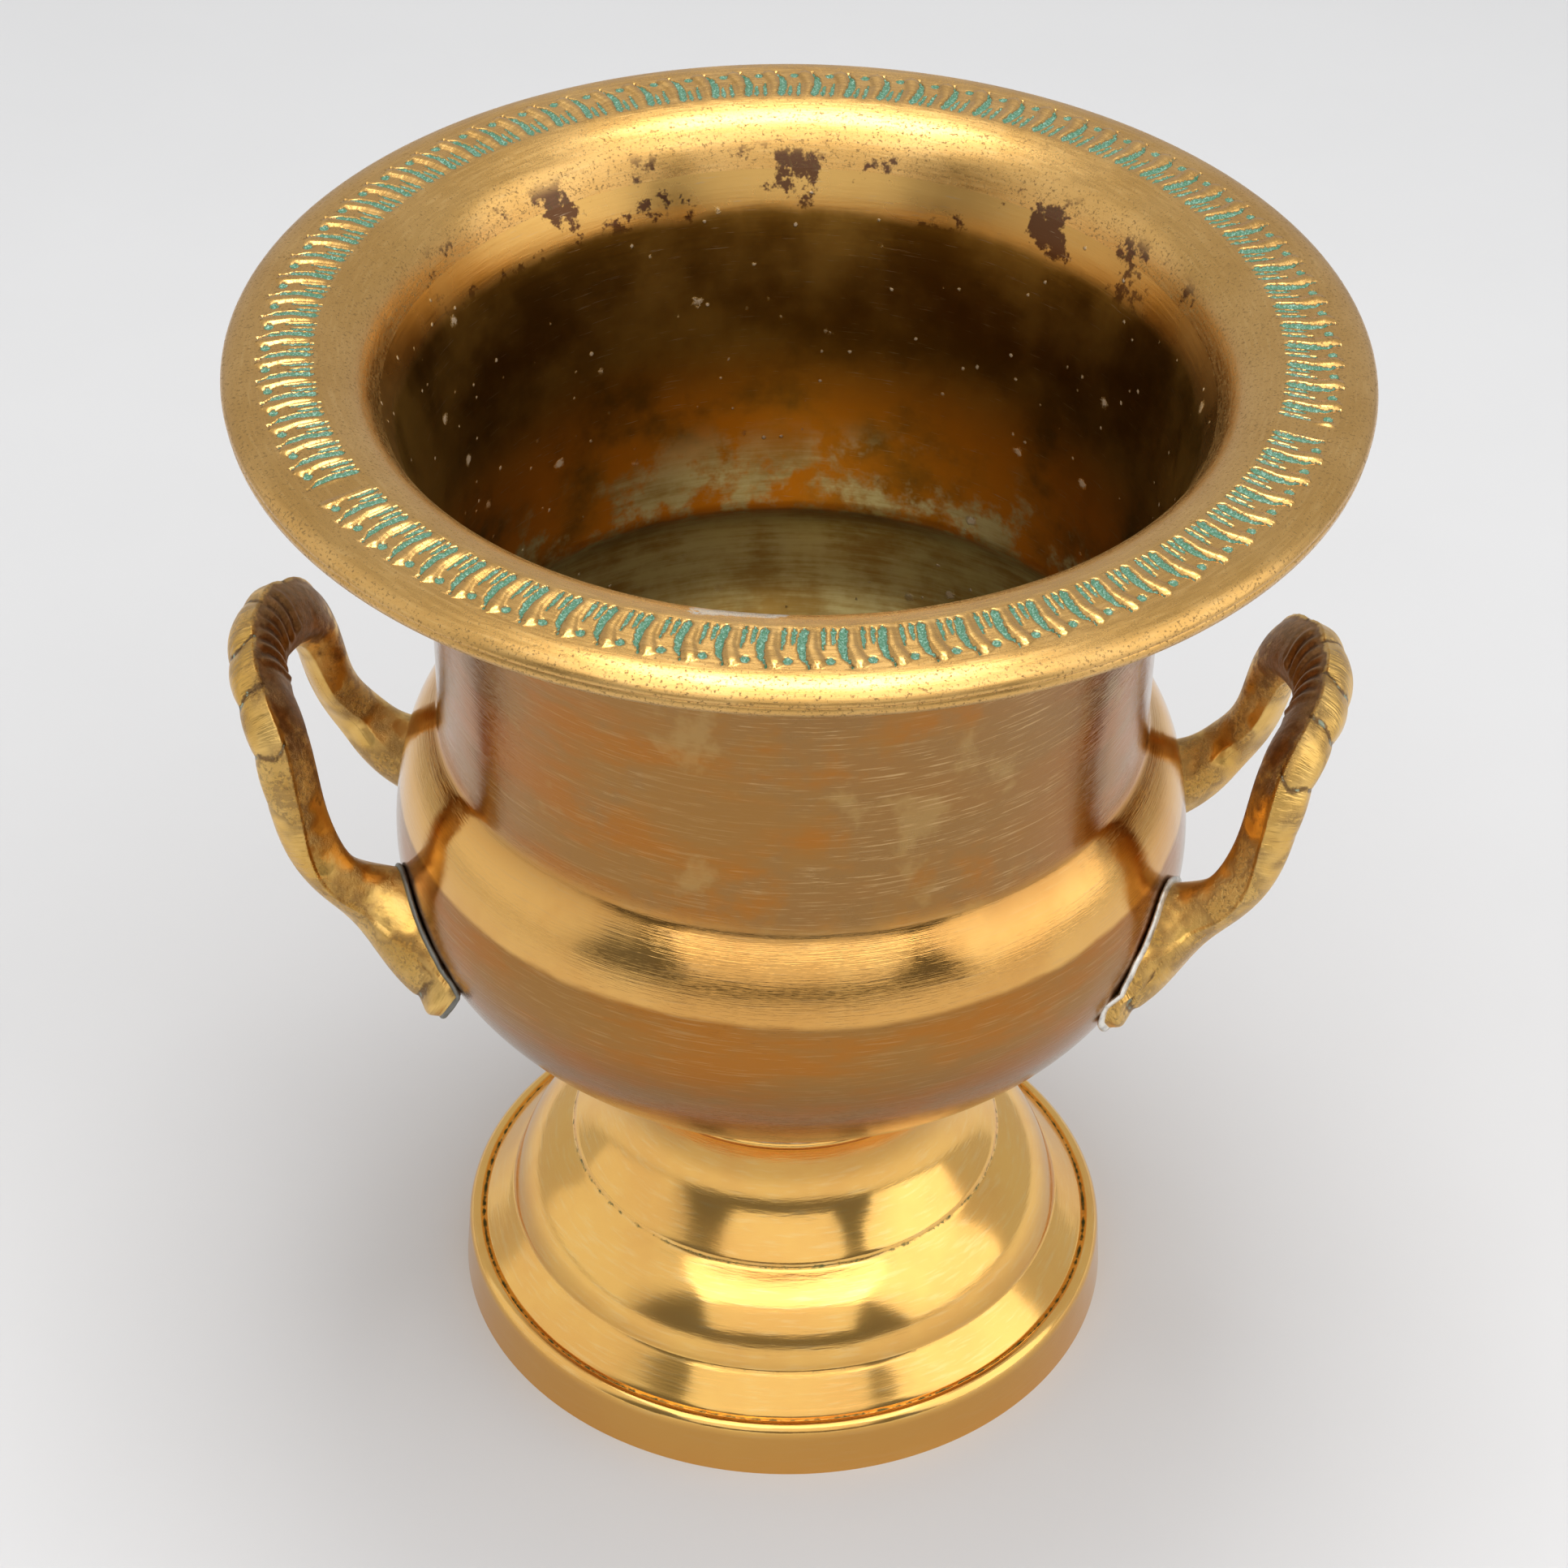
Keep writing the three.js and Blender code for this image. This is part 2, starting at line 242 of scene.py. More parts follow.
class Look:
    """A Principled material, with short calls for the nodes that drive it."""

    def __init__(self, name, metallic=1.0):
        self.material = bpy.data.materials.new(name)
        self.material.use_nodes = True
        self.tree = self.material.node_tree
        self.shader = self.tree.nodes["Principled BSDF"]
        self.shader.inputs["Metallic"].default_value = metallic
        coordinates = self.tree.nodes.new("ShaderNodeTexCoord")
        self.place = self.vector("SCALE", coordinates.outputs["Object"], Scale=1 / MM)

    def node(self, kind, *values, **settings):
        made = self.tree.nodes.new(kind)
        for key, value in settings.items():
            setattr(made, key, value)
        for socket, value in zip(made.inputs, values):
            self.feed(socket, value)
        return made

    def feed(self, socket, value):
        if isinstance(value, bpy.types.NodeSocket):
            self.tree.links.new(value, socket)
        elif value is not None:
            socket.default_value = value

    def set(self, name, value):
        self.feed(self.shader.inputs[name], value)

    def vector(self, operation, *values, Scale=None):
        made = self.node("ShaderNodeVectorMath", *values, operation=operation)
        if Scale is not None:
            self.feed(made.inputs["Scale"], Scale)
        return made.outputs["Vector"]

    def math(self, operation, *values):
        return self.node("ShaderNodeMath", *values, operation=operation).outputs[0]

    def attribute(self, name):
        return self.node("ShaderNodeAttribute", attribute_name=name).outputs["Fac"]

    def part(self, axis):
        """One of the place's coordinates, in millimetres."""
        return self.node("ShaderNodeSeparateXYZ", self.place).outputs[axis]

    def noise(self, scale, detail=3.0, rough=0.55, at=None, shift=0.0):
        """Cloudy noise round 0.5; scale is in features per millimetre."""
        moved = self.vector("ADD", at or self.place, (shift, shift, shift))
        made = self.node("ShaderNodeTexNoise", moved)
        for key, value in (("Scale", scale), ("Detail", detail), ("Roughness", rough)):
            made.inputs[key].default_value = value
        return made.outputs[0]

    def cells(self, scale):
        """Distance to the nearest of scattered points."""
        made = self.node("ShaderNodeTexVoronoi", self.place)
        made.inputs["Scale"].default_value = scale
        return made.outputs["Distance"]

    def spun_place(self, around, along):
        """Coordinates that run round the axis and along the outline, without a seam."""
        flat = self.vector("MULTIPLY", self.place, (1, 1, 0))
        direction = self.vector("SCALE", self.vector("NORMALIZE", flat), Scale=around)
        height = self.math("MULTIPLY", self.attribute("along"), along)
        return self.vector("ADD", direction, self.node("ShaderNodeCombineXYZ", 0, 0, height).outputs[0])

    def range(self, value, low, high, to_low=0.0, to_high=1.0):
        """The value taken smoothly from low..high to to_low..to_high."""
        made = self.node("ShaderNodeMapRange", value, low, high, to_low, to_high)
        made.interpolation_type = "SMOOTHSTEP"
        return made.outputs[0]

    def blend(self, share, a, b):
        made = self.node("ShaderNodeMix", data_type="RGBA", clamp_factor=True)
        self.feed(made.inputs["Factor"], share)
        for socket, value in ((made.inputs[6], a), (made.inputs[7], b)):
            self.feed(socket, (*value, 1) if isinstance(value, tuple) else value)
        return made.outputs[2]

    def brushed_round(self, amount):
        """Streaks the gloss as brushing round the axis does."""
        tangent = self.node("ShaderNodeTangent", direction_type="RADIAL", axis="Z")
        self.set("Anisotropic", amount)
        self.set("Anisotropic Rotation", 0.25)
        self.set("Tangent", tangent.outputs[0])

    def lacquered(self, weight):
        """A clear coat, which keeps the brightest lights white."""
        self.set("Coat Weight", weight)
        self.set("Coat Roughness", 0.12)

    def bump(self, height, distance, before=None):
        """Bump with its height in millimetres."""
        made = self.node("ShaderNodeBump")
        made.inputs["Strength"].default_value = 1.0
        made.inputs["Distance"].default_value = distance * MM
        self.feed(made.inputs["Height"], height)
        if before is not None:
            self.feed(made.inputs["Normal"], before)
        return made.outputs[0]


def bowl_outside_look():
    """Lacquered brass, tarnished to orange on the neck and under the belly, brushed by rubbing."""
    look = Look("tarnished_brass_outside")
    z = look.part("Z")
    cloud = look.noise(0.03, 4, 0.6)
    bands = look.noise(1.0, 4, 0.65, at=look.spun_place(2.2, 0.09))
    neck = look.range(z, 146, 156)
    low = look.range(look.math("ADD", z, look.range(bands, 0.3, 0.7, -0.6, 0.6)), 136.2, 134.4)
    worn = look.math("MAXIMUM", neck, low)
    tarnish = look.blend(look.range(bands, 0.36, 0.62), (0.4, 0.15, 0.02), (0.34, 0.165, 0.04))
    polished = look.blend(look.range(cloud, 0.4, 0.65), (0.8, 0.45, 0.125), (0.7, 0.36, 0.09))
    colour = look.blend(worn, polished, tarnish)
    # the neck is rubbed dull on its front, more towards the right, with a few paler patches
    frontal = look.range(look.part("Y"), -35, -62)
    more_to_the_right = look.math("MULTIPLY", look.part("X"), 0.003)
    patchy = look.math("ADD", look.noise(0.03, 5, 0.65, shift=40), more_to_the_right)
    rubbed = look.math("MULTIPLY", look.range(patchy, 0.44, 0.58), look.math("MULTIPLY", frontal, neck))
    colour = look.blend(look.math("MULTIPLY", rubbed, 0.8), colour, (0.31, 0.165, 0.052))
    pale = look.math("MULTIPLY", look.range(look.noise(0.045, 5, 0.6, shift=52), 0.57, 0.66), neck)
    colour = look.blend(look.math("MULTIPLY", pale, 0.5), colour, (0.46, 0.29, 0.1))
    scratches = look.noise(1.0, 3, 0.7, at=look.spun_place(6, 2.4))
    fine = look.range(scratches, 0.55, 0.66)
    fine = look.math("MULTIPLY", fine, look.math("MAXIMUM", rubbed, 0.35))
    colour = look.blend(look.math("MULTIPLY", fine, 0.75), colour, (0.6, 0.38, 0.16))
    pits = look.range(look.cells(0.035), 0.055, 0.03)
    colour = look.blend(pits, colour, (0.12, 0.07, 0.04))
    look.set("Base Color", colour)
    roughness = look.range(bands, 0.3, 0.7, 0.06, 0.11)
    roughness = look.math("ADD", roughness, look.math("MULTIPLY", rubbed, 0.18))
    look.set("Roughness", roughness)
    look.set("Normal", look.bump(scratches, 0.07, look.bump(look.noise(0.06, 2), 0.25)))
    look.lacquered(0.2)
    return look.material


STAIN_BROWN = (0.07, 0.025, 0.02)


def brown_stains(look, heights, depths):
    """Where the mouth is stained brown: it fades in over a range of heights and one along Y."""
    stains = look.range(look.noise(0.08, 5, 0.7, shift=21), 0.55, 0.6)
    stains = look.math("MULTIPLY", stains, look.range(look.part("Z"), *heights))
    stains = look.math("MULTIPLY", stains, look.range(look.part("Y"), *depths))
    return look.math("MULTIPLY", stains, 0.9)


def bowl_inside_look():
    """Dark olive patina with mineral spots, an orange band and a grey-green belly."""
    look = Look("tarnished_brass_inside")
    z = look.part("Z")
    cloud = look.noise(0.04, 5, 0.6, shift=11)
    dark = look.blend(look.range(cloud, 0.35, 0.7), (0.18, 0.095, 0.016), (0.32, 0.18, 0.035))
    orange = look.math("MULTIPLY", look.range(z, 196, 172), look.range(cloud, 0.3, 0.55))
    colour = look.blend(orange, dark, (0.52, 0.19, 0.012))
    grey = look.math("MULTIPLY", look.range(z, 176, 158), look.range(look.noise(0.05, 5, 0.7), 0.47, 0.6))
    belly = look.range(z, 152, 144)
    grey = look.math("MAXIMUM", grey, belly)
    streaks = look.noise(1.0, 4, 0.7, at=look.spun_place(3, 0.5))
    streaked = look.math("MULTIPLY", streaks, 0.35)
    mottled = look.math("MULTIPLY", look.noise(0.04, 5, 0.65), 0.65)
    washed = look.math("ADD", streaked, mottled)
    patina = look.blend(look.range(washed, 0.4, 0.6), (0.36, 0.25, 0.1), (0.58, 0.55, 0.37))
    colour = look.blend(grey, colour, patina)
    # the flare under the rim stays bright down to a ragged edge, with brown stains along it
    ragged_z = look.math("ADD", z, look.math("MULTIPLY", look.noise(0.05, 4, 0.6, shift=9), 5))
    ragged_z = look.math("ADD", ragged_z, look.math("MULTIPLY", look.part("Y"), 0.03))
    bright = look.range(ragged_z, 225, 228)
    stains = brown_stains(look, (216, 221), (20, 50))
    flare = look.blend(stains, (0.62, 0.37, 0.11), STAIN_BROWN)
    colour = look.blend(bright, colour, flare)
    scratches = look.range(look.noise(1.0, 3, 0.7, at=look.spun_place(9, 2.2)), 0.62, 0.72)
    colour = look.blend(look.math("MULTIPLY", scratches, 0.5), colour, (0.5, 0.38, 0.24))
    crumbs = look.math("MULTIPLY", look.noise(0.8, 4, 0.75), 0.2)
    large = look.range(look.math("ADD", look.cells(0.07), crumbs), 0.2, 0.14)
    small = look.range(look.math("ADD", look.cells(0.19), crumbs), 0.2, 0.14)
    crowded = look.range(look.noise(0.03, 2, shift=7), 0.36, 0.5)
    spots = look.math("MULTIPLY", look.math("MAXIMUM", large, small), crowded)
    colour = look.blend(look.math("MULTIPLY", spots, 0.85), colour, (0.38, 0.29, 0.2))
    look.set("Base Color", colour)
    look.set("Metallic", look.range(spots, 0, 1, 1, 0.2))
    roughness = look.range(cloud, 0.3, 0.7, 0.3, 0.42)
    roughness = look.math("ADD", roughness, look.math("MULTIPLY", spots, 0.3))
    look.set("Roughness", look.math("ADD", roughness, look.math("MULTIPLY", bright, -0.08)))
    look.set("Normal", look.bump(streaks, 0.04, look.bump(spots, 0.15)))
    return look.material


def rim_look():
    """Satin brass with verdigris in the stamped hollows and brown stains by the mouth."""
    look = Look("rim_brass")
    cloud = look.noise(0.05, 4, 0.6, shift=3)
    brushed = look.noise(1.0, 3, 0.6, at=look.spun_place(14, 1.6))
    colour = look.blend(look.range(cloud, 0.35, 0.7), (0.65, 0.37, 0.105), (0.72, 0.43, 0.14))
    # lighter streaks along the brushing: real brushing marks, with a painted sheen that lightens their
    # colour
    streaks = look.math("MULTIPLY", look.range(brushed, 0.5, 0.75), 0.35)
    colour = look.blend(streaks, colour, (0.82, 0.56, 0.23))
    # brown stains lie along the joint at the back, and a smear of solder on the front of the mouth
    stains = brown_stains(look, (236, 232), (5, 30))
    colour = look.blend(stains, colour, STAIN_BROWN)
    ragged_x = look.math("ADD", look.part("X"), look.math("MULTIPLY", look.noise(0.4, 4, 0.75), 10))
    ragged_y = look.math("ADD", look.part("Y"), look.math("MULTIPLY", look.noise(0.3, 4, 0.7), 4))
    smear = look.range(look.math("ABSOLUTE", look.math("ADD", ragged_x, 5)), 8.5, 7.5)
    smear = look.math("MULTIPLY", smear, look.range(ragged_y, -82, -83))
    smear = look.math("MULTIPLY", smear, look.range(ragged_y, -87, -86))
    colour = look.blend(smear, colour, (0.8, 0.78, 0.72))
    hollow = look.attribute("hollow")
    ragged = look.math("ADD", hollow, look.range(look.noise(1.6, 3, 0.7), 0.3, 0.7, -0.25, 0.25))
    dirt = look.range(ragged, 0.05, 0.3)
    colour = look.blend(look.math("MULTIPLY", dirt, 0.8), colour, (0.2, 0.13, 0.05))
    green = look.range(ragged, 0.4, 0.58)
    chalk = look.range(look.noise(2.2, 3, 0.7, shift=5), 0.42, 0.68)
    verdigris = look.blend(chalk, (0.06, 0.19, 0.1), (0.34, 0.6, 0.46))
    colour = look.blend(green, colour, verdigris)
    look.set("Base Color", colour)
    look.set("Metallic", look.range(green, 0, 1, 1, 0))
    roughness = look.range(brushed, 0.3, 0.7, 0.24, 0.34)
    look.set("Roughness", look.math("ADD", roughness, look.math("MULTIPLY", dirt, 0.45)))
    grain = look.bump(look.noise(2.5, 3, 0.6), 0.008, look.bump(brushed, 0.03))
    look.set("Normal", look.bump(look.math("MULTIPLY", green, chalk), 0.15, grain))
    look.brushed_round(0.6)
    look.lacquered(0.2)
    return look.material


def foot_look():
    """Polished brass with a soft haze, and dark residue in its turned lines."""
    look = Look("polished_brass")
    cloud = look.noise(0.035, 4, 0.6, shift=9)
    turned = look.noise(1.0, 3, 0.6, at=look.spun_place(7, 1.1))
    colour = look.blend(look.range(cloud, 0.35, 0.68), (0.92, 0.54, 0.14), (0.86, 0.47, 0.12))
    haze = look.math("MULTIPLY", look.range(turned, 0.5, 0.7), 0.3)
    colour = look.blend(haze, colour, (0.9, 0.66, 0.3))
    skirt = look.range(look.part("Z"), 11.5, 9.5)
    colour = look.blend(look.math("MULTIPLY", skirt, 0.7), colour, (0.66, 0.34, 0.08))
    hollow = look.attribute("hollow")
    ragged = look.math("ADD", hollow, look.range(look.noise(0.5, 3, 0.7), 0.3, 0.7, -0.3, 0.2))
    residue = look.range(ragged, 0.3, 0.75)
    colour = look.blend(residue, colour, (0.13, 0.14, 0.05))
    look.set("Base Color", colour)
    roughness = look.range(cloud, 0.3, 0.7, 0.12, 0.19)
    look.set("Roughness", look.math("ADD", roughness, look.math("MULTIPLY", residue, 0.4)))
    look.set("Normal", look.bump(turned, 0.03, look.bump(look.noise(0.05, 2), 0.2)))
    look.lacquered(0.2)
    return look.material


def handle_look():
    """Cast brass, filed bright outside, brown on the side of the bowl and green in its creases."""
    look = Look("cast_brass")
    cloud = look.noise(0.07, 4, 0.6, shift=15)
    colour = look.blend(look.range(cloud, 0.35, 0.65), (0.68, 0.4, 0.1), (0.82, 0.53, 0.17))
    ragged = look.range(look.noise(0.25, 4, 0.7, shift=8), 0.3, 0.7, -0.25, 0.25)
    patina = look.range(look.math("ADD", look.attribute("patina"), ragged), 0.25, 0.7)
    mottled = look.range(look.noise(0.6, 4, 0.7), 0.4, 0.65)
    copper = look.blend(mottled, (0.2, 0.1, 0.04), (0.34, 0.17, 0.07))
    colour = look.blend(look.math("MULTIPLY", patina, 0.9), colour, copper)
    hollow = look.attribute("hollow")
    speckled = look.range(look.noise(0.9, 4, 0.7), 0.3, 0.7, -0.2, 0.2)
    dark = look.range(look.math("ADD", hollow, speckled), 0.25, 0.75)
    colour = look.blend(look.math("MULTIPLY", dark, 0.85), colour, (0.13, 0.07, 0.035))
    powder = look.range(look.noise(0.5, 3, shift=31), 0.4, 0.7, -0.3, 0.25)
    crease = look.range(look.math("ADD", hollow, powder), 0.75, 0.95)
    crease = look.math("MULTIPLY", crease, look.range(patina, 0.6, 0.2))
    colour = look.blend(look.math("MULTIPLY", crease, 0.75), colour, (0.3, 0.46, 0.36))
    rough_patch = look.range(look.noise(0.1, 2, shift=2), 0.4, 0.66)
    pitting = look.math("MULTIPLY", look.noise(1.1, 5, 0.75), rough_patch)
    grime = look.math("MULTIPLY", look.range(pitting, 0.5, 0.35), look.math("MULTIPLY", rough_patch, 0.7))
    colour = look.blend(grime, colour, (0.28, 0.16, 0.07))
    look.set("Base Color", colour)
    look.set("Metallic", look.range(crease, 0, 1, 1, 0.3))
    along = look.attribute("along")
    around = look.attribute("around")
    strokes = look.node("ShaderNodeCombineXYZ", along, look.math("MULTIPLY", around, 0.5), 0).outputs[0]
    facet = look.math("MULTIPLY", look.range(around, -1.7, -1.1), look.range(around, 0.15, -0.05))
    chatter = look.math("MULTIPLY", look.noise(0.9, 3, 0.6, at=strokes), facet)
    roughness = look.range(cloud, 0.3, 0.7, 0.26, 0.36)
    look.set("Roughness", look.math("ADD", roughness, look.math("MULTIPLY", patina, 0.14)))
    cast_skin = look.bump(look.noise(0.35, 3), 0.1, look.bump(look.noise(1.8, 3, 0.6), 0.05))
    look.set("Normal", look.bump(chatter, 0.6, look.bump(pitting, 0.7, cast_skin)))
    return look.material


def solder_look():
    """Silver solder, with grey oxide where it has tarnished and a little green."""
    look = Look("solder")
    cloud = look.noise(0.25, 4, 0.65)
    colour = look.blend(look.range(cloud, 0.35, 0.6), (0.5, 0.48, 0.44), (0.88, 0.86, 0.8))
    tarnish = look.math("MULTIPLY", look.attribute("tarnish"), look.range(cloud, 0.2, 0.45, 0.8, 1))
    colour = look.blend(tarnish, colour, (0.13, 0.13, 0.11))
    green = look.range(look.noise(0.12, 4, 0.7, shift=17), 0.6, 0.72)
    colour = look.blend(look.math("MULTIPLY", green, 0.7), colour, (0.3, 0.45, 0.36))
    look.set("Base Color", colour)
    look.set("Metallic", look.range(green, 0, 1, 0.9, 0.3))
    look.set("Roughness", look.range(cloud, 0.3, 0.7, 0.35, 0.55))
    look.set("Normal", look.bump(look.noise(0.9, 4, 0.7), 0.3))
    return look.material


def floor_look():
    look = Look("paper_floor", metallic=0.0)
    grain = look.noise(0.02, 3)
    look.set("Base Color", look.blend(grain, (0.635, 0.635, 0.64), (0.655, 0.655, 0.66)))
    look.set("Roughness", 0.9)
    return look.material


# ---------- bowl ----------


def bowl_outside():
    """Outside of the bowl from the axis underneath to the cut edge of the mouth."""
    belly = curve(
        (33, BOWL_BASE_Z),
        (43.6, 72),
        (52.5, 79.6),
        (62.4, 88.4),
        (72.9, 99.5),
        (79, 110.5),
        (81.5, 122),
        (80.7, 134),
        (77.8, 144.2),
        (75, 148.2),
        (NECK_RADIUS, NECK_FOOT_Z),
    )
    flare = curve(
        (NECK_RADIUS, 168),
        (72.8, 186),
        (74.4, 203),
        (77.1, 217),
        (78.8, 223),
        (MOUTH_RADIUS, MOUTH_Z),
    )
    line = np.vstack([[0, BOWL_BASE_Z], belly, flare])
    return softened(evenly(line, 0.8), 2)


def make_bowl():
    outside = bowl_outside()
    inside = moved_sideways(outside, -SHEET)[::-1]
    outline = np.vstack([outside, inside])
    piece = spun("bowl_spun", outline, False, bowl_outside_look())
    piece.data.materials.append(bowl_inside_look())
    material = np.zeros(len(piece.data.polygons), np.int32)
    outer_faces = (len(outside) - 1) * ROUND_STEPS
    material[outer_faces:] = 1
    piece.data.polygons.foreach_set("material_index", material)
    place(piece, "tarnished_brass", "bowl")


# ---------- rim ----------

GADROON_INNER_V = -0.08  # the band's sampled width, past both ends of the stamping
GADROON_OUTER_V = 1.08
STAMP_JOINS = (math.radians(212), math.radians(-16))  # where the stamping starts and ends


def field_height(radius):
    """Height of the rim's upper face under the gadroons."""
    slope = (radius - GADROON_INNER_RADIUS) / (GADROON_OUTER_RADIUS - GADROON_INNER_RADIUS)
    return RIM_TOP_Z - LOBE_HEIGHT - 0.5 * np.clip(slope, 0, 2)


def band_radius(v):
    return GADROON_INNER_RADIUS + v * (GADROON_OUTER_RADIUS - GADROON_INNER_RADIUS)


def gadroon_relief(u, v):
    """Height and hollow of the stamped band: u runs across one unit, v from its inner edge outwards."""

    def across(centre, half_width):
        """1 on the centre line of a mark, 0 at its edge and negative past it."""
        away = (u - centre + 0.5) % 1 - 0.5
        return 1 - (away / np.maximum(half_width, 1e-3)) ** 2

    # one deep cut, two thin cuts and a pit between the lobes
    big = across(
        np.interp(v, [0, 0.45, 0.8, 1], [0.22, 0.12, 0.16, 0.3]),
        np.interp(v, [-0.04, 0.06, 0.5, 0.8, 1.02], [0, 0.12, 0.12, 0.08, 0]),
    )
    first = across(
        np.interp(v, [0, 0.6], [0.7, 0.64]),
        np.interp(v, [-0.02, 0.08, 0.35, 0.62], [0, 0.07, 0.06, 0]),
    )
    second = across(
        np.interp(v, [0, 0.5], [0.96, 0.91]),
        np.interp(v, [-0.04, 0.06, 0.3, 0.52], [0, 0.065, 0.05, 0]),
    )
    pit = across(0.8, 0.12) - ((v - 0.88) / 0.1) ** 2
    lobe_width = np.interp(v, [0, 0.5, 0.75, 0.9, 1.0, 1.07], [0.09, 0.15, 0.18, 0.21, 0.16, 0])
    lobe = across(np.interp(v, [0, 0.5, 0.92], [0.42, 0.36, 0.5]), lobe_width)
    lobe_height = np.interp(v, [0, 0.2, 0.7, 0.92, 1.07], [0.1, 0.5, 0.75, 1.0, 0.6]) * LOBE_HEIGHT
    height = np.sqrt(np.clip(lobe, 0, 1)) * lobe_height
    deep = np.clip(big, 0, 1) * 0.6
    thin = np.clip(np.maximum(first, second), 0, 1) * 0.4
    pitted = np.clip(pit, 0, 1) * 0.45
    hollow = np.clip(np.maximum(np.maximum(big, first), np.maximum(second, pit)) * 1.6 + 0.25, 0, 1)
    return height - np.maximum(np.maximum(deep, thin), pitted), hollow * (v > -0.05) * (v < 1.05)


def gadroon_ring(v):
    """One ring of the stamped band, with its hollow values."""
    angle = np.arange(GADROON_STEPS) * 2 * math.pi / GADROON_STEPS
    units = angle / (2 * math.pi) * GADROON_UNITS
    start, end = (join % (2 * math.pi) for join in STAMP_JOINS)
    inside = (angle > start) & (angle < end)
    units = units + 0.45 * inside
    to_join = np.minimum(np.abs(angle - start), np.abs(angle - end)) / (2 * math.pi) * GADROON_UNITS
    plain = smoothstep(0.25, 0.5, to_join)
    height, hollow = gadroon_relief(units % 1, v)
    radius = band_radius(v)
    z = field_height(radius) + height * plain
    ring = np.stack([radius * np.cos(angle), radius * np.sin(angle), z], axis=1)
    return ring, hollow * plain


def make_rim():
    """The flared rim: cove, stamped band, rolled edge, hem and underside, as one closed section."""
    inner = band_radius(GADROON_INNER_V)
    outer = band_radius(GADROON_OUTER_V)
    cove = curve(
        (MOUTH_RADIUS - SHEET, RIM_SEAT_Z),
        (81.9, 233),
        (83.4, 235.4),
        (85.6, 237.4),
        (88.6, 238.8),
        (inner, field_height(inner)),
    )
    edge_low_z = field_height(outer) - EDGE_FALL
    edge = quarter_round((outer, edge_low_z), RIM_RADIUS - outer, EDGE_FALL)
    hem_bottom = RIM_TOP_Z - HEM_DROP
    hem = np.array([(RIM_RADIUS - 0.45, edge_low_z - 0.5), (RIM_RADIUS - 0.15, edge_low_z - 1),
                    (RIM_RADIUS - 0.4, hem_bottom + 0.2), (RIM_RADIUS - 0.9, hem_bottom),
                    (RIM_RADIUS - 1.5, hem_bottom + 0.2)])
    upper = softened(evenly(cove, 1.0), 1)
    shoulder = evenly(edge, 0.5)[1:]
    face = np.vstack([evenly(cove, 2.0), [(98, 239)], evenly(edge, 2.0)[:-1]])
    under = moved_sideways(face, SHEET)[1:][::-1]
    seat = np.array([(MOUTH_RADIUS, RIM_SEAT_Z)])

    outline = [(point, None) for point in upper]
    outline += [(None, v) for v in np.linspace(GADROON_INNER_V, GADROON_OUTER_V, 36)[1:]]
    outline += [(point, None) for point in np.vstack([shoulder, hem, under, seat])]
    rings = []
    hollows = []
    line = []
    for point, v in outline:
        if point is None:
            ring, hollow = gadroon_ring(v)
            line.append((band_radius(v), field_height(band_radius(v))))
        else:
            ring = circle(point[0], point[1], RIM_STEPS)
            hollow = np.zeros(RIM_STEPS)
            line.append(tuple(point))
        rings.append(ring)
        hollows.append(hollow)
    along = spread(lengths_along(np.array(line)), rings)
    piece = ring_mesh("rim_gadrooned", rings, {"along": along, "hollow": hollows}, True, rim_look())
    place(piece, "rim_brass", "rim_flange")


def make_rim_solder(material):
    """The bead round the outside of the joint between the neck and the rim."""
    inner = MOUTH_RADIUS + 0.3
    outline = curve(
        (inner - 0.6, MOUTH_Z - 3.2),
        (inner + 1, MOUTH_Z - 2.1),
        (inner + 1.3, MOUTH_Z + 1),
        (inner + 0.5, MOUTH_Z + 1.6),
    )
    corner = np.array([(inner + 0.1, MOUTH_Z)])
    piece = spun("rim_solder_run", np.vstack([evenly(outline, 0.5), corner]), True, material)
    place(piece, "solder", "rim_solder_ring")


# ---------- foot ----------


def foot_outside():
    """Outside of the foot from the axis on top to the floor."""
    stem = curve((37.6, FOOT_TOP_Z - 2.6), (37, 57), (39.6, 47), (43, 42), (46.2, 38.2))
    dome = curve((47, 36.7), (52.6, 32.6), (57.6, 26), (59.6, 20.5))
    line = np.vstack([
        [(0, FOOT_TOP_Z), (37.7, FOOT_TOP_Z), (38.7, FOOT_TOP_Z - 1)],
        stem,
        [(46.3, 37.2)],
        dome,
        [(59.7, 19.7), (60.3, 19.3)],
        curve((60.3, 19.3), (63, 16.4), (65.6, 13.6)),
        [(66.1, GROOVE_Z + 0.1), (GROOVE_RADIUS, GROOVE_Z - 1.3), (67.3, GROOVE_Z - 0.1)],
        quarter_round((67.5, 10.5), 2.4, 2.5),
        [(FOOT_RADIUS, 0)],
    ])
    return softened(evenly(line, 0.4), 2)


